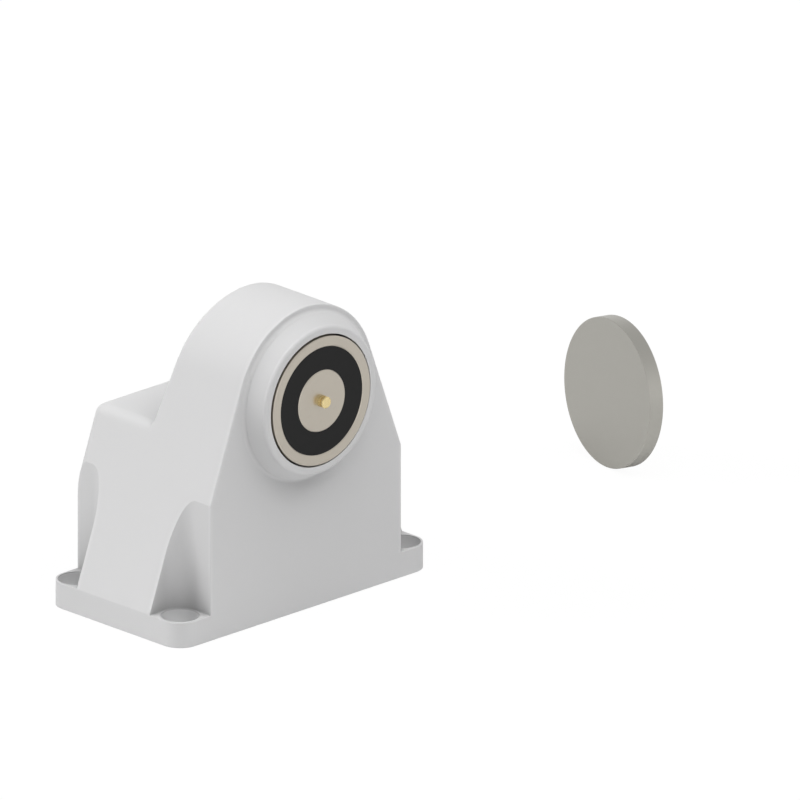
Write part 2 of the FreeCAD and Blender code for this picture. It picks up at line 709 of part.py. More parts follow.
def make_bracket():
    body = new_body("magnet_bracket")
    side = new_sketch(body, "bracket_side", "YZ_Plane", "-Sizes.bracket_width / 2")
    near, far = "Worked.pot_back", "Worked.bracket_back"
    low, high = "Worked.plate_top", "Worked.foot_top"
    bend, outer = "Sizes.bracket_bend", "(Sizes.bracket_bend + Sizes.bracket_thickness)"
    crest = "(Sizes.axis_height + Sizes.bracket_top)"
    toe = "(Worked.pot_back + Sizes.bracket_foot)"
    outline(side, [
        (near + " + " + outer, low), (toe, low), (toe, high),
        (far + " + " + bend, high, bend, -1),
        (far, high + " + " + bend), (far, crest), (near, crest),
        (near, low + " + " + outer, outer, 1)])
    leg = pad(body, side, "Sizes.bracket_width")

    def top_corner(edge):
        box = edge.BoundBox
        return box.ZMin > driving["axis_height"] and box.YLength > tiny and box.XLength < tiny

    cornered = round_edges(body, leg, "Sizes.bracket_width / 4", top_corner)
    foot = new_sketch(body, "bracket_foot_holes", "XY_Plane", "Worked.foot_top + Sizes.overshoot")
    for sign in ("", "-"):
        circle(foot, sign + "Sizes.foot_screw_across", "Worked.foot_screw_place",
               "Sizes.foot_screw_radius + Sizes.hole_clearance")
    pocket(body, foot, "Sizes.bracket_thickness + 2 * Sizes.overshoot")
    hole = new_sketch(body, "bracket_magnet_hole", "XZ_Plane", "-Worked.pot_back + Sizes.overshoot")
    circle(hole, "0", "Sizes.axis_height", "Sizes.magnet_screw_radius + Sizes.hole_clearance")
    pocket(body, hole, "Sizes.bracket_thickness + 2 * Sizes.overshoot")
    return body


def pan_screw(name, shank, head, head_height, length):
    # the seat under the head is at the body's origin and the shank runs down
    body = new_body(name)
    profile = new_sketch(body, name + "_profile", "XZ_Plane")
    crown, half_height = "(%s - Sizes.head_crown)" % head, head_height + " / 2"
    outline(profile, [
        ("0", "-" + length), (shank, "-" + length), (shank, "0"), (head, "0"),
        (head, half_height), (crown, head_height), ("0", head_height)])
    revolve(body, profile)
    slot = new_sketch(body, name + "_slot", "XY_Plane", half_height)
    end, edge = "(%s / 2)" % head, "(Sizes.slot_width / 2)"
    outline(slot, [("-" + end, "-" + edge), (end, "-" + edge), (end, edge), ("-" + end, edge)])
    pocket(body, slot, head_height, back=True)
    return body


def make_bracket_screws():
    length = "(Sizes.bracket_thickness + Sizes.plate_thickness)"
    pattern = pan_screw("foot_screw_pattern", "Sizes.foot_screw_radius", "Sizes.foot_screw_head",
                        "Sizes.foot_screw_head_height", length)
    places = [(sign + "Sizes.foot_screw_across", "Worked.foot_screw_place", "Worked.foot_top")
              for sign in ("", "-")]
    return copies("bracket_screws", pattern, places)


def make_magnet_screw():
    screw = on_magnet_axis("magnet_screw", [
        ("0", "Worked.screw_tip"),
        ("Sizes.magnet_screw_radius - Sizes.edge_break", "Worked.screw_tip"),
        ("Sizes.magnet_screw_radius", "Worked.screw_tip + Sizes.edge_break"),
        ("Sizes.magnet_screw_radius", "Worked.washer_back"),
        ("Sizes.magnet_screw_head", "Worked.washer_back"),
        ("Sizes.magnet_screw_head", "Worked.washer_back + Sizes.magnet_screw_head_height"),
        ("0", "Worked.washer_back + Sizes.magnet_screw_head_height")])
    washer = on_magnet_axis("spring_washer", [
        ("Sizes.magnet_screw_radius + Sizes.hole_clearance", "Worked.bracket_back"),
        ("Sizes.washer_radius", "Worked.bracket_back"),
        ("Sizes.washer_radius", "Worked.washer_back"),
        ("Sizes.magnet_screw_radius + Sizes.hole_clearance", "Worked.washer_back")])
    split = new_sketch(washer, "washer_split", "XZ_Plane", "-Worked.bracket_back + Sizes.overshoot")
    half = "(Sizes.washer_split / 2)"
    outline(split, [("-" + half, "0"), (half, "0"), (half, "Sizes.washer_radius + Sizes.overshoot"),
                    ("-" + half, "Sizes.washer_radius + Sizes.overshoot")])
    pocket(washer, split, "Sizes.washer_thickness + 2 * Sizes.overshoot")
    return [screw, washer]


# Terminals

def make_terminal_block():
    body = new_body("terminal_block")
    plan = new_sketch(body, "block_plan", "XY_Plane", "Worked.plate_top")
    left = "(Sizes.block_across - Sizes.block_width / 2)"
    right = "(Sizes.block_across + Sizes.block_width / 2)"
    near = "(Worked.block_back - Sizes.block_length / 2)"
    far = "(Worked.block_back + Sizes.block_length / 2)"
    outline(plan, [(left, near), (right, near), (right, far), (left, far)])
    pad(body, plan, "Sizes.block_height")
    ways = new_sketch(body, "block_ways", "XZ_Plane", "-%s + Sizes.overshoot" % near)
    wells = new_sketch(body, "block_wells", "XY_Plane", "Worked.block_top + Sizes.overshoot")
    for pole in ("Worked.left_pole", "Worked.right_pole"):
        circle(ways, pole, "Worked.pole_level", "Sizes.clamp_radius + Sizes.terminal_gap")
        circle(wells, pole, "Worked.block_back", "Sizes.clamp_screw_head + Sizes.hole_clearance")
    pocket(body, ways, "Sizes.block_length + 2 * Sizes.overshoot")
    pocket(body, wells, "Sizes.block_height - Sizes.pole_height + Sizes.overshoot")
    through = new_sketch(body, "block_screw_hole", "XY_Plane", "Worked.block_top + Sizes.overshoot")
    circle(through, "Sizes.block_across", "Worked.block_back",
           "Sizes.block_screw_radius + Sizes.screw_clearance")
    pocket(body, through, "Sizes.block_height + 2 * Sizes.overshoot")
    seat = new_sketch(body, "block_screw_seat", "XY_Plane", "Worked.block_top + Sizes.overshoot")
    circle(seat, "Sizes.block_across", "Worked.block_back",
           "Sizes.block_screw_head + Sizes.screw_clearance")
    pocket(body, seat, "Sizes.block_screw_seat + Sizes.overshoot")
    return body


def make_terminal_clamps():
    pattern = new_body("clamp_pattern")
    ring = new_sketch(pattern, "clamp_ring", "XZ_Plane", "-Sizes.clamp_length / 2")
    circle(ring, "0", "0", "Sizes.clamp_radius")
    circle(ring, "0", "0", "Sizes.clamp_bore")
    pad(pattern, ring, "Sizes.clamp_length")
    tapped = new_sketch(pattern, "clamp_thread", "XY_Plane")
    circle(tapped, "0", "0", "Sizes.clamp_screw_radius + Sizes.screw_clearance")
    pocket(pattern, tapped, "Sizes.clamp_radius + Sizes.overshoot", back=True)
    places = [(pole, "Worked.block_back", "Worked.pole_level")
              for pole in ("Worked.left_pole", "Worked.right_pole")]
    return copies("terminal_clamps", pattern, places)


def make_terminal_screws():
    reach = "(Sizes.clamp_screw_seat + Sizes.clamp_radius - Sizes.clamp_bore + Sizes.clamp_screw_nip)"
    pattern = pan_screw("clamp_screw_pattern", "Sizes.clamp_screw_radius",
                        "Sizes.clamp_screw_head", "Sizes.clamp_screw_height", reach)
    level = "Worked.pole_level + Sizes.clamp_radius + Sizes.clamp_screw_seat"
    places = [(pole, "Worked.block_back", level)
              for pole in ("Worked.left_pole", "Worked.right_pole")]
    screws = copies("terminal_screws", pattern, places)
    long = "(Sizes.block_height - Sizes.block_screw_seat + Sizes.plate_thickness)"
    holder = pan_screw("terminal_fixing_screw", "Sizes.block_screw_radius",
                       "Sizes.block_screw_head", "Sizes.block_screw_height", long)
    holder.setExpression("Placement.Base.x", "Sizes.block_across")
    holder.setExpression("Placement.Base.y", "Worked.block_back")
    holder.setExpression("Placement.Base.z", "Worked.block_top - Sizes.block_screw_seat")
    return [screws, holder]


def bent_tube(points, radius, share=0.45):
    # straight runs joined by tangent arcs, each arc as large as its shorter run allows
    edges = []
    here = points[0]
    for before, corner, after in zip(points, points[1:], points[2:]):
        way_in = (corner - before).normalize()
        way_out = (after - corner).normalize()
        shorter = min(corner.distanceToPoint(before), after.distanceToPoint(corner))
        start = corner - way_in * shorter * share
        end = corner + way_out * shorter * share
        turn = way_in.getAngle(way_out)
        bend = shorter * share / math.tan(turn / 2)
        inward = (way_out - way_in).normalize()
        centre = corner + inward * bend / math.cos(turn / 2)
        middle = centre - inward * bend
        edges.append(Part.LineSegment(here, start).toShape())
        edges.append(Part.Arc(start, middle, end).toShape())
        here = end
    edges.append(Part.LineSegment(here, points[-1]).toShape())
    section = Part.Wire(Part.makeCircle(radius, points[0], points[1] - points[0]))
    return Part.Wire(edges).makePipeShell([section], True, True)


def make_leads():
    # each lead runs from the winding, out of the back of the pot and down to its terminal
    level = number_of(values, "Worked.pole_level")
    middle = number_of(values, "Worked.groove_middle")
    behind = number_of(values, "Worked.washer_back + Sizes.lead_out")
    middle_along = number_of(values, "Worked.block_back")
    entry = middle_along - driving["block_length"] / 2 - driving["lead_approach"]
    end = middle_along - driving["block_length"] / 2 + driving["clamp_length"] / 2
    leads = []
    for name, angle, sway, pole in (
            ("lead_positive", "lead_angle_low", "lead_sway_low", "left_pole"),
            ("lead_negative", "lead_angle_high", "lead_sway_high", "right_pole")):
        across = middle * math.cos(math.radians(driving[angle]))
        height = driving["axis_height"] - middle * math.sin(math.radians(driving[angle]))
        far = number_of(values, "Worked." + pole)
        half_way = (height + level) / 2
        points = [
            FreeCAD.Vector(across, number_of(values, "Worked.winding_back"), height),
            FreeCAD.Vector(across, behind, height),
            FreeCAD.Vector(across + driving[sway], behind + driving["lead_step"], half_way),
            FreeCAD.Vector(far, entry, level),
            FreeCAD.Vector(far, end - driving["lead_stop"], level)]
        lead = document.addObject("Part::Feature", name)
        lead.Shape = bent_tube(points, driving["lead_radius"])
        lead.Label = name
        leads.append(lead)
    return leads


def make_diode():
    # a small rectifier behind the block, its legs bent forward into both poles
    level = number_of(values, "Worked.pole_level")
    left = number_of(values, "Worked.left_pole")
    right = number_of(values, "Worked.right_pole")
    rear = number_of(values, "Worked.block_back + Sizes.block_length / 2")
    inside = number_of(values, "Worked.block_back + Sizes.diode_reach")
    stand = rear + driving["diode_stand"]
    points = [FreeCAD.Vector(left, inside, level), FreeCAD.Vector(left, stand, level),
              FreeCAD.Vector(right, stand, level), FreeCAD.Vector(right, inside, level)]
    legs = bent_tube(points, driving["diode_wire"], share=0.15)
    middle = (left + right) / 2 - driving["diode_length"] / 2
    case = Part.makeCylinder(driving["diode_radius"], driving["diode_length"],
                             FreeCAD.Vector(middle, stand, level), FreeCAD.Vector(1, 0, 0))
    diode = document.addObject("Part::Feature", "suppression_diode")
    diode.Shape = legs.fuse(case).removeSplitter()
    diode.Label = "suppression_diode"
    return diode


def make_grommet():
    body = new_body("cable_grommet")
    profile = new_sketch(body, "grommet_profile", "XZ_Plane")
    bore, hole, lip = "Sizes.inlet_bore", "Sizes.inlet_hole", "Sizes.inlet_lip"
    under = "(Sizes.plate_recess - Sizes.inlet_lip_thickness)"
    over = "(Worked.plate_top + Sizes.inlet_lip_thickness)"
    outline(profile, [(bore, under), (lip, under), (lip, "Sizes.plate_recess"),
                      (hole, "Sizes.plate_recess"), (hole, "Worked.plate_top"),
                      (lip, "Worked.plate_top"), (lip, over), (bore, over)])
    revolve(body, profile)
    body.setExpression("Placement.Base.x", "-Sizes.inlet_across")
    body.setExpression("Placement.Base.y", "Worked.inlet_back")
    return body


# Armature plate: the plain steel disc that the door carries, here standing on its rim

def make_armature_plate():
    body = new_body("armature_plate")
    face = new_sketch(body, "disc_face", "YZ_Plane", "-Sizes.disc_thickness / 2")
    circle(face, "0", "0", "Sizes.disc_radius")
    disc = pad(body, face, "Sizes.disc_thickness")
    round_edges(body, disc, "Sizes.disc_edge", lambda edge: edge.BoundBox.XLength < tiny,
                kind="Chamfer")
    thread = new_sketch(body, "disc_thread", "YZ_Plane", "Sizes.disc_thickness / 2")
    circle(thread, "0", "0", "Sizes.disc_thread_radius")
    pocket(body, thread, "Sizes.disc_thread_depth")
    stand = ("Sizes.disc_radius * cos(Sizes.disc_tilt * 1deg)"
             " + Sizes.disc_thickness / 2 * sin(Sizes.disc_tilt * 1deg)")
    turn = "rotation(vector(0; 0; 1); Sizes.disc_turn * 1deg)"
    tilt = "rotation(vector(0; 1; 0); Sizes.disc_tilt * 1deg)"
    place = "vector(Sizes.disc_right; -Sizes.disc_forward; %s)" % stand
    body.setExpression("Placement", "placement(%s; %s * %s)" % (place, turn, tilt))
    return body


pieces = [make_housing(), make_magnet_body()]
pieces += make_coil()
pieces += [make_ejector(), make_spring(), make_base_plate(), make_plate_screws(), make_bracket(),
           make_bracket_screws()]
pieces += make_magnet_screw()
pieces += [make_terminal_block(), make_terminal_clamps()]
pieces += make_terminal_screws()
pieces += make_leads()
pieces += [make_diode(), make_grommet(), make_armature_plate()]

document.recompute()

for item in document.Objects:
    if "Invalid" in item.State or "Error" in item.State:
        raise RuntimeError("%s failed: %s" % (item.Name, item.State))

os.makedirs("parts", exist_ok=True)
for piece in pieces:
    shape = Part.getShape(piece)
    if shape.isNull() or not shape.isValid() or not shape.Solids:
        raise RuntimeError("%s has no valid solid" % piece.Label)
    shape.exportStep("parts/%s.step" % piece.Label)
    print("%-22s %2d solids %10.1f mm3" % (piece.Label, len(shape.Solids), shape.Volume))
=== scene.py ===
import json
import math

import bpy
from mathutils import Matrix, Vector


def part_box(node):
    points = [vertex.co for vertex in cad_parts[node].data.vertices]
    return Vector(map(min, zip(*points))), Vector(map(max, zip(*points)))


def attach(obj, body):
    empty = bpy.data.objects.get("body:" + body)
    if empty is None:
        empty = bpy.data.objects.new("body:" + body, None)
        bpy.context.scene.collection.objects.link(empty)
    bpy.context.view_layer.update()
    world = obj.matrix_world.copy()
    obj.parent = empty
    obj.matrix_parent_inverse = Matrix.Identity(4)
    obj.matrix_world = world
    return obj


# Looks for a door-holding magnet: a white moulded housing with a pot magnet in its collar, and
# the steel disc that belongs to it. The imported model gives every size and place.

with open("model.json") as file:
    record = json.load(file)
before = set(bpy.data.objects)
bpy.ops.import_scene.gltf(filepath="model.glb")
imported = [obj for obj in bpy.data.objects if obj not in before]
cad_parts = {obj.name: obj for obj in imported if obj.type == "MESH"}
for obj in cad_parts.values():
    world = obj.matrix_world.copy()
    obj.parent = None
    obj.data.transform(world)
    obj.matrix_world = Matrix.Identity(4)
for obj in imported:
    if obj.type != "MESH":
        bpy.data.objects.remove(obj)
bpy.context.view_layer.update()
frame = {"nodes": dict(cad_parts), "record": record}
scene = bpy.context.scene
print("frame loaded:", len(frame["nodes"]), "nodes")


# Small tools

class Signal:
    # a node's socket that can be reckoned with like a number or a vector

    def __init__(self, tree, socket):
        self.tree = tree
        self.socket = socket

    def reckon(self, operation, *terms):
        vector = any(isinstance(term, Signal) and term.socket.type in ("VECTOR", "RGBA")
                     or isinstance(term, (tuple, Vector)) for term in terms)
        node = self.tree.nodes.new("ShaderNodeVectorMath" if vector else "ShaderNodeMath")
        node.operation = operation
        for socket, term in zip(node.inputs, terms):
            if vector and isinstance(term, (int, float)):
                term = (term, term, term)
            plug(self.tree, socket, term)
        scalar = not vector or operation == "DOT_PRODUCT"
        return Signal(self.tree, node.outputs["Value" if scalar else "Vector"])

    def __add__(self, other):
        return self.reckon("ADD", self, other)

    def __radd__(self, other):
        return self.reckon("ADD", other, self)

    def __sub__(self, other):
        return self.reckon("SUBTRACT", self, other)

    def __rsub__(self, other):
        return self.reckon("SUBTRACT", other, self)

    def __mul__(self, other):
        return self.reckon("MULTIPLY", self, other)

    def __rmul__(self, other):
        return self.reckon("MULTIPLY", other, self)

    def __truediv__(self, other):
        return self.reckon("DIVIDE", self, other)

    def __rtruediv__(self, other):
        return self.reckon("DIVIDE", other, self)

    def __pow__(self, other):
        return self.reckon("POWER", self, other)

    def __rpow__(self, other):
        return self.reckon("POWER", other, self)

    def dot(self, other):
        return self.reckon("DOT_PRODUCT", self, other)

    def sine(self):
        return self.reckon("SINE", self)

    def least(self, other):
        return self.reckon("MINIMUM", self, other)

    def most(self, other):
        return self.reckon("MAXIMUM", self, other)

    def above(self, other):
        return self.reckon("GREATER_THAN", self, other)


def plug(tree, socket, value):
    if isinstance(value, Signal):
        tree.links.new(value.socket, socket)
    elif socket.type == "RGBA" and len(value) == 3:
        socket.default_value = (*value, 1.0)
    else:
        socket.default_value = value


def shade(colour, share):
    return tuple(min(part * share, 1.0) for part in colour)


def blend(first, second, share):
    # two noises as one, in which the first has the given share
    return first * share + second * (1.0 - share)


class Tree:
    # a node tree: one method makes a node with its settings and what feeds its sockets

    def __init__(self, tree):
        self.tree = tree

    def node(self, kind, inputs=None, output=0, **settings):
        made = self.tree.nodes.new(kind)
        for word, value in settings.items():
            setattr(made, word, value)
        for word, value in (inputs or {}).items():
            plug(self.tree, made.inputs[word], value)
        return Signal(self.tree, made.outputs[output])

    def part(self, letter, vector):
        # the X, Y or Z of a vector
        return self.node("ShaderNodeSeparateXYZ", {"Vector": vector}, letter)

    def rays(self, kind):
        # 1 for rays of one kind, such as those that come straight from the camera
        return self.node("ShaderNodeLightPath", output="Is %s Ray" % kind)


# What all finishes share; nearly all values of a noise lie between noiseLow and noiseHigh
shared = {"noiseLow": 0.3, "noiseHigh": 0.7, "lineRoughness": 0.7, "edgeSamples": 6,
          "enclosedSamples": 12}


class Finish(Tree):
    # one material: a Principled shader and the nodes that feed it, on Object coordinates in metres

    def __init__(self, name, **uniform):
        self.material = bpy.data.materials.new(name)
        self.material.use_nodes = True
        super().__init__(self.material.node_tree)
        self.shader = self.tree.nodes["Principled BSDF"]
        self.place = self.node("ShaderNodeTexCoord", output="Object")
        for word, value in uniform.items():
            self.set(word, value)

    def set(self, word, value):
        plug(self.tree, self.shader.inputs[word.replace("_", " ")], value)

    def noise(self, scale, detail=2.0, where=None, roughness=0.5):
        inputs = {"Vector": where or self.place, "Scale": scale, "Detail": detail,
                  "Roughness": roughness}
        return self.node("ShaderNodeTexNoise", inputs, "Fac")

    def lines(self, along, scale, seed):
        # fine marks that change along one measure only, such as a tool's turning marks
        vector = self.node("ShaderNodeCombineXYZ", {"X": along * scale, "Y": seed})
        return self.noise(1.0, where=vector, roughness=shared["lineRoughness"])

    def remap(self, value, low, high, toLow, toHigh):
        inputs = {"Value": value, "From Min": low, "From Max": high, "To Min": toLow,
                  "To Max": toHigh}
        return self.node("ShaderNodeMapRange", inputs)

    def mix(self, factor, first, second):
        # a Mix node has several sockets of each name, so they go by their numbers
        return self.node("ShaderNodeMix", {0: factor, 6: first, 7: second}, 2, data_type="RGBA")

    def tint(self, noise, colour, darker, lighter):
        # the colour varies between two shares of itself
        self.set("Base Color", self.mix(noise, shade(colour, darker), shade(colour, lighter)))

    def roughen(self, noise, low, high):
        # the roughness varies between low and high
        self.set("Roughness", self.remap(noise, shared["noiseLow"], shared["noiseHigh"],
                                         low, high))

    def bump(self, height, distance, edge=None):
        # small relief, and where edge is given, every sharp edge looks rounded by that radius
        inputs = {"Height": height, "Distance": distance}
        if edge is not None:
            inputs["Normal"] = self.node("ShaderNodeBevel", {"Radius": edge},
                                         samples=shared["edgeSamples"])
        self.set("Normal", self.node("ShaderNodeBump", inputs))

    def enclosed(self, reach, inside=False):
        # 0 where the surface lies open, more in a corner or a hollow up to reach away, or,
        # with inside, more where the solid is thinner than reach, such as along an edge
        openness = self.node("ShaderNodeAmbientOcclusion", {"Distance": reach}, "AO",
                             samples=shared["enclosedSamples"], only_local=True, inside=inside)
        return 1.0 - openness


def dress(finish, *nodes):
    for name in nodes:
        target = frame["nodes"][name]
        target.data.materials.clear()
        target.data.materials.append(finish.material)


# White moulded plastic with a fine spark-eroded grain, and painted shade and painted light in its
# colour

plastic = {"colour": (0.68, 0.679, 0.682), "tone": 0.985, "tonePerMetre": 34.0,
           "grainPerMetre": 1900.0, "finePerMetre": 5200.0, "grainShare": 0.7,
           "grainHeight": 2.2e-5, "roughLow": 0.46, "roughHigh": 0.6, "ior": 1.46,
           "flangeTop": 0.0097,
           # reaches and amounts of the painted shade in hollows and creases, of the painted light
           # in the bores and of the painted highlight along edges
           "hollow": 0.026, "hollowFrom": 0.01, "hollowTo": 0.06, "hollowShadeLow": 0.57,
           "hollowShadeHigh": 0.08, "crease": 0.006, "creaseShade": 0.12,
           "bore": 0.01, "borePaintedLight": 0.04, "brink": 0.0018, "brinkHighlight": 0.18,
           "edge": 0.0003, "flangeEdge": 0.0011, "edgeLow": 0.006, "edgeTop": 0.0115}


def makePlastic():
    finish = Finish("whitePlastic", Metallic=0.0, IOR=plastic["ior"])
    grain = finish.noise(plastic["grainPerMetre"], detail=3.0)
    fine = finish.noise(plastic["finePerMetre"])
    flow = finish.noise(plastic["tonePerMetre"], detail=3.0)
    castAndPaintedLight = finish.mix(flow, shade(plastic["colour"], plastic["tone"]), plastic["colour"])
    height = finish.part("Z", finish.place)
    above = height.above(plastic["flangeTop"])
    # painted shade in the notches, more so low down, and in the creases
    paintedNotchShade = finish.remap(height, plastic["hollowFrom"], plastic["hollowTo"],
                         plastic["hollowShadeLow"], plastic["hollowShadeHigh"])
    castAndPaintedLight = castAndPaintedLight * (1.0 - above * finish.enclosed(plastic["hollow"]) * paintedNotchShade)
    castAndPaintedLight = castAndPaintedLight * (1.0 - above * finish.enclosed(plastic["crease"]) * plastic["creaseShade"])
    # painted light in the fixing bores, and a painted highlight along sharp edges
    castAndPaintedLight = castAndPaintedLight * (1.0 + (1.0 - above) * finish.enclosed(plastic["bore"]) * plastic["borePaintedLight"])
    castAndPaintedLight = castAndPaintedLight * (1.0 + above * finish.enclosed(plastic["brink"], inside=True)
                   * plastic["brinkHighlight"])
    finish.set("Base Color", castAndPaintedLight)
    finish.roughen(grain, plastic["roughLow"], plastic["roughHigh"])
    # the flange's top edges are the softest
    rim = height.above(plastic["edgeLow"]) * (1.0 - height.above(plastic["edgeTop"]))
    softer = rim * (plastic["flangeEdge"] - plastic["edge"])
    finish.bump(blend(grain, fine, plastic["grainShare"]), plastic["grainHeight"],
                softer + plastic["edge"])
    return finish


dress(makePlastic(), "housing")
print("housing dressed")


# Turned steel of the pot: rings that the tool left round the magnet's axis

pinLow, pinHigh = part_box("ejector_pin")
axisLevel = (pinLow.z + pinHigh.z) / 2
magnetCentre, magnetAxis = (0.0, 0.0, axisLevel), (0.0, 1.0, 0.0)
turned = {"darker": 0.955, "lighter": 1.04, "seed": 3.0, "markShare": 0.6}
steel = {"colour": (0.555, 0.511, 0.442), "linesPerMetre": 5200.0, "marks": 3.0e-6,
         "roughLow": 0.26, "roughHigh": 0.38, "spotsPerMetre": 260.0}


def ringDistance(finish, centre, along):
    # distance from a turning axis that goes through centre
    offset = finish.place - tuple(centre)
    height = offset.dot(tuple(along))
    squared = offset.dot(offset) - height * height
    return squared.most(0.0) ** 0.5


def makeTurnedSteel(name, settings, centre, along):
    finish = Finish(name, Metallic=1.0)
    radius = ringDistance(finish, centre, along)
    marks = finish.lines(radius, settings["linesPerMetre"], turned["seed"])
    spots = finish.noise(settings["spotsPerMetre"], detail=4.0)
    worn = blend(marks, spots, turned["markShare"])
    finish.tint(worn, settings["colour"], turned["darker"], turned["lighter"])
    finish.roughen(worn, settings["roughLow"], settings["roughHigh"])
    finish.bump(marks, settings["marks"])
    return finish


dress(makeTurnedSteel("turnedSteel", steel, magnetCentre, magnetAxis), "magnet_body")
print("magnet body dressed")


# Black resin poured into the groove: even, with a slight skin and a few dimples

resin = {"colour": (0.0165, 0.0165, 0.0165), "ior": 1.22, "skinPerMetre": 420.0,
         "dimplesPerMetre": 900.0, "height": 1.2e-5, "roughLow": 0.42, "roughHigh": 0.56,
         "skinShare": 0.6, "darker": 0.8, "lighter": 1.25}


def makeResin():
    finish = Finish("blackResin", Metallic=0.0, IOR=resin["ior"])
    skin = finish.noise(resin["skinPerMetre"], detail=3.0)
    dimples = finish.noise(resin["dimplesPerMetre"], detail=1.0)
    finish.tint(skin, resin["colour"], resin["darker"], resin["lighter"])
    finish.roughen(skin, resin["roughLow"], resin["roughHigh"])
    finish.bump(blend(skin, dimples, resin["skinShare"]), resin["height"])
    return finish


dress(makeResin(), "potting_ring")
print("resin dressed")


# Brass of the pin and of the terminals

brass = {"colour": (0.86, 0.70, 0.36), "linesPerMetre": 9000.0, "marks": 2.0e-6,
         "roughLow": 0.2, "roughHigh": 0.32, "spotsPerMetre": 700.0}
dress(makeTurnedSteel("turnedBrass", brass, magnetCentre, magnetAxis), "ejector_pin")
dress(makeTurnedSteel("terminalBrass", brass, magnetCentre, (0.0, 0.0, 1.0)), "terminal_clamps")


# Steel disc: its face is ground, its rim turned

disc = {"colour": (0.455, 0.444, 0.408), "linesPerMetre": 4200.0, "marks": 3.5e-6,
        "roughLow": 0.33, "roughHigh": 0.46, "spotsPerMetre": 520.0}


def discAxis():
    # the disc's thread mount gives the direction of its back
    mount = next(item for item in frame["record"]["mounts"] if item["name"] == "armature_thread")
    return Vector(mount["axis"]).normalized(), Vector(mount["pos_m"])


discBack, discPlace = discAxis()
dress(makeTurnedSteel("discSteel", disc, discPlace, discBack), "armature_plate")
print("disc dressed")


# Zinc-plated steel of the plate, the bracket and the screws

zinc = {"colour": (0.6, 0.61, 0.62), "tint": (0.63, 0.62, 0.58), "cloudsPerMetre": 90.0,
        "cloudShare": 0.6, "grainPerMetre": 1500.0, "height": 6.0e-6, "roughLow": 0.3,
        "roughHigh": 0.46}


def makeZinc(name, settings):
    finish = Finish(name, Metallic=1.0)
    clouds = finish.noise(settings["cloudsPerMetre"], detail=4.0)
    grain = finish.noise(settings["grainPerMetre"])
    finish.set("Base Color", finish.mix(clouds, settings["colour"], settings["tint"]))
    finish.roughen(blend(clouds, grain, settings["cloudShare"]), settings["roughLow"],
                   settings["roughHigh"])
    finish.bump(grain, settings["height"])
    return finish


zincSteel = makeZinc("zincSteel", zinc)
dress(zincSteel, "base_plate", "magnet_bracket", "base_plate_screws", "bracket_screws",
      "magnet_screw", "terminal_screws", "terminal_fixing_screw")
bright = {**zinc, "colour": (0.5, 0.5, 0.5), "tint": (0.44, 0.44, 0.45), "roughLow": 0.2,
          "roughHigh": 0.3}
springSteel = makeZinc("springSteel", bright)
dress(springSteel, "ejector_spring", "spring_washer")
print("plated steel dressed")


# Plastics, rubber and insulation inside and underneath

dull = {"grainPerMetre": 2200.0, "cloudsPerMetre": 110.0, "height": 1.2e-5,
        "darker": 0.93, "lighter": 1.06, "roughSpread": 0.06}


def makeMoulded(name, colour, roughness):
    finish = Finish(name, Metallic=0.0)
    grain = finish.noise(dull["grainPerMetre"])
    clouds = finish.noise(dull["cloudsPerMetre"], detail=3.0)
    finish.tint(clouds, colour, dull["darker"], dull["lighter"])
    finish.roughen(grain, roughness - dull["roughSpread"], roughness + dull["roughSpread"])
    finish.bump(grain, dull["height"])
    return finish


moulded = {
    "coil_bobbin": ("bobbinPlastic", (0.62, 0.6, 0.54), 0.5),
    "terminal_block": ("terminalPlastic", (0.72, 0.72, 0.7), 0.45),
    "cable_grommet": ("grommetRubber", (0.022, 0.022, 0.023), 0.62),
    "lead_positive": ("redInsulation", (0.5, 0.022, 0.02), 0.38),
    "lead_negative": ("blackInsulation", (0.02, 0.02, 0.022), 0.38),
}
for node, (name, colour, roughness) in moulded.items():
    dress(makeMoulded(name, colour, roughness), node)


copper = {"dark": (0.55, 0.2, 0.08), "light": (0.72, 0.32, 0.14), "cloudsPerMetre": 160.0,
          "turn": 0.0005, "height": 1.0e-4, "rough": 0.3, "enamel": 0.4}


def makeCopper():
    # enamelled wire: each turn is a fine ridge along the magnet's axis
    finish = Finish("copperWire", Metallic=1.0, Coat_Weight=copper["enamel"])
    along = finish.part("Y", finish.place)
    turns = (along * (math.tau / copper["turn"])).sine()
    clouds = finish.noise(copper["cloudsPerMetre"])
    finish.set("Base Color", finish.mix(clouds, copper["dark"], copper["light"]))
    finish.set("Roughness", copper["rough"])
    finish.bump(turns, copper["height"])
    return finish


diode = {"case": (0.02, 0.02, 0.02), "band": (0.6, 0.6, 0.6), "bandFrom": 0.0014,
         "bandTo": 0.0022, "grainPerMetre": 1500.0, "roughLow": 0.35, "roughHigh": 0.5}


def makeDiode():
    # moulded black case with a pale band near one end
    finish = Finish("diodeCase")
    low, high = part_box("suppression_diode")
    along = finish.part("X", finish.place)
    middle = (low.x + high.x) / 2
    start, end = middle + diode["bandFrom"], middle + diode["bandTo"]
    band = (along - start).above(0.0) * (end - along).above(0.0)
    finish.set("Base Color", finish.mix(band, diode["case"], diode["band"]))
    grain = finish.noise(diode["grainPerMetre"])
    finish.roughen(grain, diode["roughLow"], diode["roughHigh"])
    return finish


copperWire = makeCopper()
dress(copperWire, "coil_winding")
dress(makeDiode(), "suppression_diode")
print("inner pieces dressed")


# Repeated detail, made by Geometry Nodes: the coil's outer turns and the threads of the screws

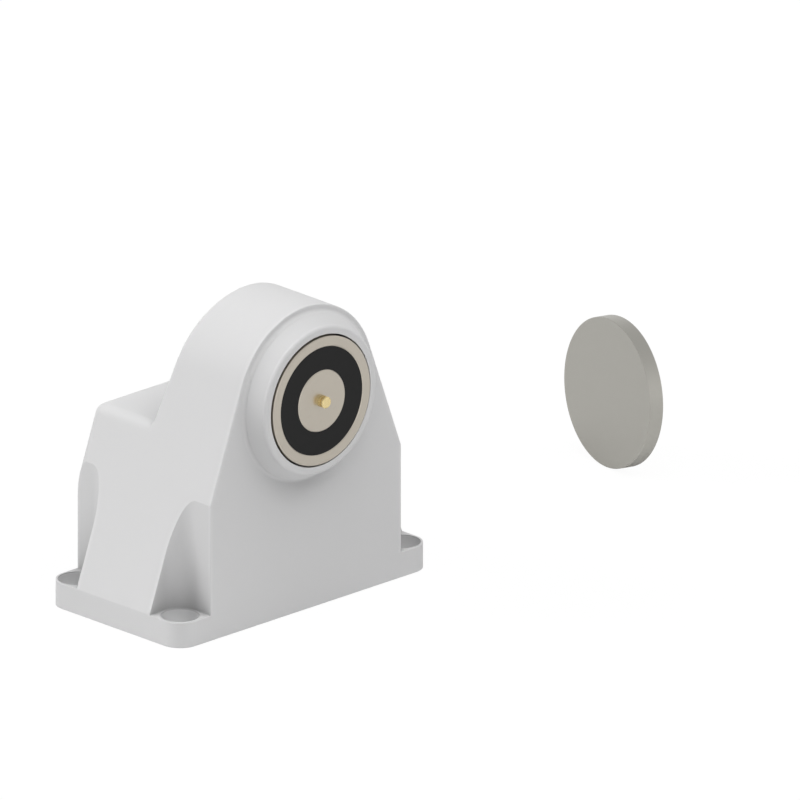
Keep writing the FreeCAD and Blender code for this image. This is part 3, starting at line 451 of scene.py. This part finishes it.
class Shape(Tree):
    # a tree of Geometry Nodes with named sizes, whose result becomes a plain mesh

    def __init__(self, name, sizes):
        self.name = name
        self.sizes = sizes
        self.sockets = {}
        super().__init__(bpy.data.node_groups.new(name, "GeometryNodeTree"))
        for word, value in sizes.items():
            kind = "NodeSocketInt" if isinstance(value, int) else "NodeSocketFloat"
            socket = self.tree.interface.new_socket(word, in_out="INPUT", socket_type=kind)
            self.sockets[word] = socket.identifier
        self.tree.interface.new_socket("Geometry", in_out="OUTPUT",
                                       socket_type="NodeSocketGeometry")

    def size(self, word):
        return self.node("NodeGroupInput", output=word)

    def place(self, x, y, z):
        return self.node("ShaderNodeCombineXYZ", {"X": x, "Y": y, "Z": z})

    def tube(self, curve, radius, sides):
        ring = self.node("GeometryNodeCurvePrimitiveCircle",
                         {"Resolution": sides, "Radius": radius})
        return self.node("GeometryNodeCurveToMesh", {"Curve": curve, "Profile Curve": ring,
                                                     "Fill Caps": True})

    def made(self, geometry, finish, body, slot):
        real = self.node("GeometryNodeRealizeInstances", {"Geometry": geometry})
        dressed = self.node("GeometryNodeSetMaterial",
                            {"Geometry": real, "Material": finish.material})
        leave = self.tree.nodes.new("NodeGroupOutput")
        self.tree.links.new(dressed.socket, leave.inputs["Geometry"])
        piece = bpy.data.objects.new(self.name, bpy.data.meshes.new(self.name))
        scene.collection.objects.link(piece)
        modifier = piece.modifiers.new(self.name, "NODES")
        modifier.node_group = self.tree
        for word, value in self.sizes.items():
            modifier[self.sockets[word]] = value
        graph = bpy.context.evaluated_depsgraph_get()
        mesh = bpy.data.meshes.new_from_object(piece.evaluated_get(graph))
        piece.modifiers.clear()
        mesh.materials.clear()
        mesh.materials.append(finish.material)
        mesh.polygons.foreach_set("material_index", [0] * len(mesh.polygons))
        piece.data = mesh
        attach(piece, body)
        return piece


outerTurns = {"wire": 0.00025, "sides": 6, "roundSteps": 72}


def makeOuterTurns():
    # a row of rings on the winding's outside, one for each turn of wire
    low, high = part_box("coil_winding")
    count = int((high.y - low.y) / (2 * outerTurns["wire"]))
    shape = Shape("outerTurns", {
        "Turns": count, "Pitch": (high.y - low.y) / count, "Radius": (high.x - low.x) / 2,
        "Wire": outerTurns["wire"], "Front": low.y, "Level": axisLevel})
    start = shape.place(0.0, shape.size("Front") + shape.size("Pitch") / 2, shape.size("Level"))
    row = shape.node("GeometryNodeMeshLine", {
        "Count": shape.size("Turns"), "Start Location": start,
        "Offset": shape.place(0.0, shape.size("Pitch"), 0.0)})
    circle = shape.node("GeometryNodeCurvePrimitiveCircle", {
        "Resolution": outerTurns["roundSteps"], "Radius": shape.size("Radius")})
    turn = shape.tube(circle, shape.size("Wire"), outerTurns["sides"])
    turn = shape.node("GeometryNodeTransform", {"Geometry": turn,
                                                "Rotation": (math.pi / 2, 0.0, 0.0)})
    rings = shape.node("GeometryNodeInstanceOnPoints", {"Points": row, "Instance": turn})
    return shape.made(rings, copperWire, "holder", "copper_wire")


plateThread = {"head": 0.0028, "cone": 0.0015, "point": 0.0017, "shank": 0.0015, "ridge": 0.00024,
               "pitch": 0.0011, "stepsPerTurn": 24, "sides": 4}


def makePlateThreads():
    # a thread round each of the four self-tapping screws that hold the base plate
    low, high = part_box("base_plate_screws")
    bottom, length = low.z + plateThread["cone"], high.z - low.z
    threaded = length - plateThread["cone"] - plateThread["point"]
    shape = Shape("plateThreads", {
        "Across": high.x - low.x - 2 * plateThread["head"],
        "Along": high.y - low.y - 2 * plateThread["head"],
        "Bottom": bottom, "Length": threaded, "Turns": threaded / plateThread["pitch"],
        "Shank": plateThread["shank"], "Ridge": plateThread["ridge"]})
    spots = shape.node("GeometryNodeMeshGrid", {
        "Size X": shape.size("Across"), "Size Y": shape.size("Along"),
        "Vertices X": 2, "Vertices Y": 2})
    helix = shape.node("GeometryNodeCurveSpiral", {
        "Resolution": plateThread["stepsPerTurn"], "Rotations": shape.size("Turns"),
        "Start Radius": shape.size("Shank"), "End Radius": shape.size("Shank"),
        "Height": shape.size("Length")})
    thread = shape.tube(helix, shape.size("Ridge"), plateThread["sides"])
    raised = shape.node("GeometryNodeTransform", {
        "Geometry": thread, "Translation": shape.place(0.0, 0.0, shape.size("Bottom"))})
    threads = shape.node("GeometryNodeInstanceOnPoints", {"Points": spots, "Instance": raised})
    return shape.made(threads, zincSteel, "holder", "screw_steel")


for piece in (makeOuterTurns(), makePlateThreads()):
    print(piece.name, "made:", len(piece.data.polygons), "faces")


# Camera: the photograph's view, without perspective

photo = {"turn": 43.95, "rise": 20.31, "pixelsPerMetre": 2696.0, "size": 800.0,
         "corner": (-0.065, -0.0355, 0.0), "cornerPixel": (179.57, 651.29), "away": 2.0,
         "reach": 10.0}


def makeCamera():
    turn, rise = math.radians(photo["turn"]), math.radians(photo["rise"])
    back = Vector((-math.sin(turn) * math.cos(rise), -math.cos(turn) * math.cos(rise),
                   math.sin(rise)))
    right = Vector((math.cos(turn), -math.sin(turn), 0.0))
    up = back.cross(right)
    aside = (photo["size"] / 2 - photo["cornerPixel"][0]) / photo["pixelsPerMetre"]
    over = (photo["cornerPixel"][1] - photo["size"] / 2) / photo["pixelsPerMetre"]
    data = bpy.data.cameras.new("photoCamera")
    data.type = "ORTHO"
    data.ortho_scale = photo["size"] / photo["pixelsPerMetre"]
    data.clip_end = photo["reach"]
    camera = bpy.data.objects.new("photoCamera", data)
    camera.location = Vector(photo["corner"]) + right * aside + up * over + back * photo["away"]
    camera.rotation_euler = Matrix((right, up, back)).transposed().to_euler()
    scene.collection.objects.link(camera)
    scene.camera = camera


makeCamera()
print("camera made")


# Studio: broad lamps all round and high up, a plain white backdrop and a pale floor

studio = {"sky": 0.02, "skyDip": 0.32, "dipFrom": 0.25, "dipTo": 0.75, "lampWidth": 32.0,
          "floorSize": 6.0, "floorDrop": 5e-5, "floorColour": (0.8, 0.8, 0.8),
          "floorGlow": 0.94, "glow": 1.02,
          "lamps": {"overheadLamp": ((0.0, 0.0, 1.0), 0.685),
                    "leanLamp": ((-0.25, -0.25, 0.94), 0.412),
                    "frontLeftLamp": ((-0.5, -0.4, 0.77), 0.579),
                    "frontLamp": ((0.0, -0.64, 0.77), 0.667),
                    "frontRightLamp": ((0.5, -0.4, 0.77), 0.665),
                    "backLeftLamp": ((-0.62, 0.62, 0.5), 1.512)}}


def makeLamps():
    for name, (towards, strength) in studio["lamps"].items():
        light = bpy.data.lights.new(name, "SUN")
        light.energy = strength
        light.angle = math.radians(studio["lampWidth"])
        lamp = bpy.data.objects.new(name, light)
        lamp.rotation_euler = Vector(towards).to_track_quat("Z", "Y").to_euler()
        lamp.visible_glossy = False  # the lamps light, and only the sky and the floor reflect
        scene.collection.objects.link(lamp)


def makeSky():
    # the camera sees plain white; in a reflection the sky is somewhat darker high up
    world = bpy.data.worlds.new("studioSky")
    scene.world = world
    world.use_nodes = True
    sky = Tree(world.node_tree)
    height = sky.part("Z", sky.node("ShaderNodeTexCoord", output="Generated"))
    climb = (height - studio["dipFrom"]) / (studio["dipTo"] - studio["dipFrom"])
    dip = climb.most(0.0).least(1.0) * studio["skyDip"]
    reflected = sky.rays("Glossy").most(sky.rays("Transmission")) * (1.0 - dip)
    background = sky.tree.nodes["Background"]
    plug(sky.tree, background.inputs["Color"], (1.0, 1.0, 1.0))
    plug(sky.tree, background.inputs["Strength"],
         sky.rays("Camera").most(reflected).most(studio["sky"]))


def makeFloor():
    # just under the housing, so that the two faces don't coincide
    half = studio["floorSize"] / 2
    low = -studio["floorDrop"]
    mesh = bpy.data.meshes.new("floor")
    corners = [(-half, -half, low), (half, -half, low), (half, half, low), (-half, half, low)]
    mesh.from_pydata(corners, [], [(0, 1, 2, 3)])
    floor = bpy.data.objects.new("floor", mesh)
    scene.collection.objects.link(floor)
    material = bpy.data.materials.new("paleFloor")
    material.use_nodes = True
    paint = Tree(material.node_tree)
    paint.tree.nodes.remove(paint.tree.nodes["Principled BSDF"])
    plain = paint.node("ShaderNodeBsdfDiffuse", {"Color": studio["floorColour"]})
    glow = paint.node("ShaderNodeEmission", {"Strength": studio["glow"]})
    seen = paint.rays("Camera") * studio["floorGlow"]
    mixed = paint.node("ShaderNodeMixShader", {"Fac": seen, 1: plain, 2: glow})
    plug(paint.tree, paint.tree.nodes["Material Output"].inputs["Surface"], mixed)
    mesh.materials.append(material)


makeLamps()
makeSky()
makeFloor()
scene.view_settings.view_transform = "Standard"
print("studio made")
